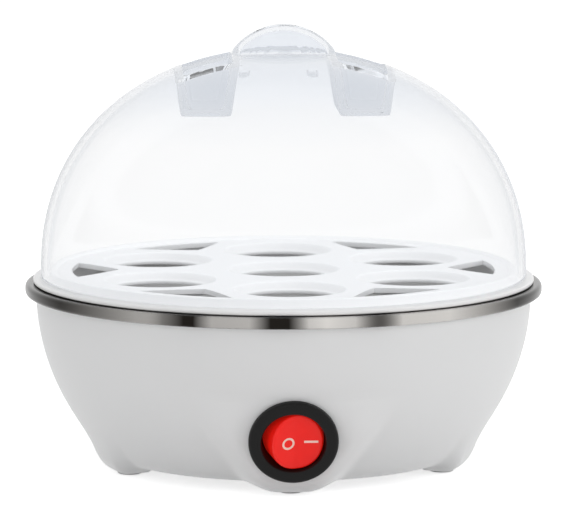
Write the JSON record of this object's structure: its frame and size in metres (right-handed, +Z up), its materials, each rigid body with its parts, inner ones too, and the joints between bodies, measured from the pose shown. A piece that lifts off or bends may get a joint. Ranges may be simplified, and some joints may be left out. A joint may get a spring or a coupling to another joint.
{
  "type": "egg boiler",
  "caption": "Countertop electric egg boiler: lobed plastic base with a steel water pan, seat tray, clear domed lid and a round rocker switch.",
  "frame": {"origin": "on the table, under the middle of the base", "axes": "+Z up, -Y towards the front with the switch, +X to the right seen from the front"},
  "size_m": [0.176, 0.176, 0.151],
  "materials": {
    "body_plastic": "smooth white moulded plastic",
    "rim_steel": "polished rolled stainless steel",
    "pan_steel": "drawn stainless steel",
    "tray_plastic": "smooth white moulded plastic",
    "lid_clear": "clear moulded plastic",
    "switch_black": "black moulded nylon",
    "rocker_red": "translucent red moulded plastic with pale on and off marks",
    "gland_black": "black moulded bush",
    "plate_aluminium": "die-cast",
    "thermostat_black": "phenolic body",
    "fastener_steel": "zinc-plated",
    "terminal_brass": "stamped",
    "ceramic_white": "fired ceramic, unglazed",
    "lamp_glass": "clear neon lamp",
    "wire_red": "silicone sleeve",
    "wire_blue": "silicone sleeve",
    "wire_green": "silicone sleeve",
    "pad_rubber": "pale grey moulded rubber"
  },
  "bodies": {
    "base": {"base_body": "body_plastic", "bottom_cover": "body_plastic", "rim_band": "rim_steel", "water_pan": "pan_steel", "switch_housing": "switch_black", "cord_gland": "gland_black", "heating_plate": "plate_aluminium", "thermostat": "thermostat_black", "thermostat_bracket": "fastener_steel", "earth_tab": "terminal_brass", "thermal_fuse": "ceramic_white", "terminal_block": "ceramic_white", "switch_lamp": "lamp_glass", "wire_live_in": "wire_red", "wire_live_out": "wire_red", "wire_lamp": "wire_blue", "wire_heater": "wire_blue", "wire_fuse_in": "wire_blue", "wire_fuse_out": "wire_blue", "wire_earth": "wire_green", "foot_pad_1": "pad_rubber", "foot_pad_2": "pad_rubber", "foot_pad_3": "pad_rubber", "foot_pad_4": "pad_rubber", "foot_pad_5": "pad_rubber", "cover_screw_1": "fastener_steel", "pan_stud_1": "fastener_steel", "stud_nut_1": "fastener_steel", "switch_blade_1": "terminal_brass", "cover_screw_2": "fastener_steel", "pan_stud_2": "fastener_steel", "stud_nut_2": "fastener_steel", "switch_blade_2": "terminal_brass", "cover_screw_3": "fastener_steel", "pan_stud_3": "fastener_steel", "stud_nut_3": "fastener_steel", "switch_blade_3": "terminal_brass", "heater_pin_1": "ceramic_white", "heater_pin_2": "ceramic_white"},
    "tray": {"egg_tray": "tray_plastic"},
    "lid": {"lid_dome": "lid_clear"},
    "rocker": {"switch_rocker": "rocker_red"}
  },
  "joints": [
    {"name": "tray_lift", "type": "slide", "parent": "base", "child": "tray", "axis": [0, 0, 1], "range_m": [0, 0.06]},
    {"name": "lid_lift", "type": "slide", "parent": "tray", "child": "lid", "axis": [0, 0, 1], "range_m": [0, 0.1]},
    {"name": "rocker_tilt", "type": "hinge", "parent": "base", "child": "rocker", "pos_m": [0, -0.07064, 0.022], "axis": [0, 0.3173, -0.9483], "range_deg": [0, 22]}
  ]
}
